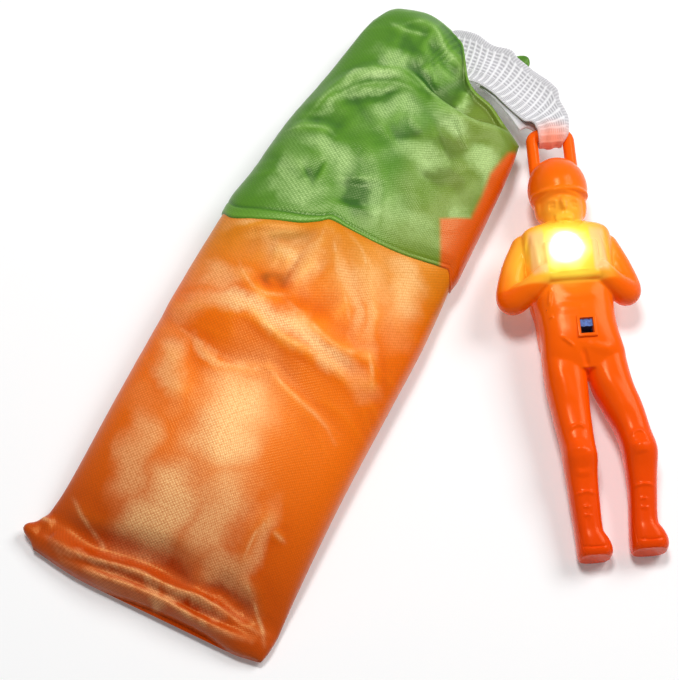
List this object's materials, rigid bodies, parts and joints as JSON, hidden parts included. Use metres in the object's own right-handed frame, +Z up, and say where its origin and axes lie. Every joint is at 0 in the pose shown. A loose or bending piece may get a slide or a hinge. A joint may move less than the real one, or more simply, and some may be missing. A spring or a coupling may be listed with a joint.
{
  "type": "toy parachute",
  "caption": "Packed toy parachute: a folded two-colour cloth canopy, a knitted tape and a moulded soldier figure that lights up, tied to the tape by a loop on its head.",
  "frame": {"origin": "under the middle of the folded canopy, on the surface that the toy lies on", "axes": "+Z up out of the surface; +Y along the pack towards the end that the tape leaves; +X across it, towards the side that the figure lies on"},
  "size_m": [0.1187, 0.1519, 0.0162],
  "materials": {
    "orange_satin": "satin-faced woven nylon",
    "green_satin": "satin-faced woven nylon",
    "knitted_tape": "knitted ladder tape",
    "translucent_shell": "glossy moulded plastic that light shines through",
    "zinc_steel": "zinc-plated",
    "white_carrier": "moulded, matt",
    "cell_steel": "nickel-plated can",
    "contact_spring": "thin spring sheet",
    "lamp_resin": "clear cast resin",
    "tinned_wire": "tinned",
    "board_laminate": "laminate with a green mask",
    "navy_plastic": "moulded, glossy",
    "blue_plastic": "moulded, glossy, ribbed",
    "red_sheath": "wire sheath",
    "black_sheath": "wire sheath"
  },
  "bodies": {
    "pack": {"canopy_pack": "orange_satin", "canopy_sleeve": "green_satin", "canopy_tab": "green_satin", "tape_tail": "knitted_tape"},
    "tape": {"tape_strap": "knitted_tape"},
    "figure": {"figure_front": "translucent_shell", "figure_back": "translucent_shell", "lamp_housing": "white_carrier", "button_cell_1": "cell_steel", "button_cell_2": "cell_steel", "button_cell_3": "cell_steel", "contact_negative": "contact_spring", "contact_positive": "contact_spring", "lamp": "lamp_resin", "lamp_lead_negative": "tinned_wire", "lamp_lead_positive": "tinned_wire", "circuit_board": "board_laminate", "switch_case": "navy_plastic", "switch_terminal_1": "tinned_wire", "switch_terminal_2": "tinned_wire", "switch_terminal_3": "tinned_wire", "wire_red": "red_sheath", "wire_black": "black_sheath"},
    "knob": {"switch_knob": "blue_plastic"},
    "door": {"battery_door": "translucent_shell"},
    "screw": {"door_screw": "zinc_steel"}
  },
  "joints": [
    {"name": "tape_fold", "type": "hinge", "parent": "pack", "child": "tape", "pos_m": [0.01565, 0.06938, 0.0052], "axis": [-0.3665, -0.9304, 0], "range_deg": [0, 90]},
    {"name": "figure_swing", "type": "hinge", "parent": "tape", "child": "figure", "pos_m": [0.02828, 0.06383, 0.007], "axis": [-0.8519, -0.5237, 0], "range_deg": [0, 90]},
    {"name": "switch_travel", "type": "slide", "parent": "figure", "child": "knob", "axis": [0.5237, -0.8519, 0], "range_m": [0, 0.0016]},
    {"name": "battery_door_lift", "type": "slide", "parent": "figure", "child": "door", "axis": [0, 0, -1], "range_m": [0, 0.006]},
    {"name": "door_screw_turn", "type": "hinge", "parent": "door", "child": "screw", "pos_m": [0.05165, 0.02581, 0], "axis": [0, 0, -1], "continuous": true}
  ]
}
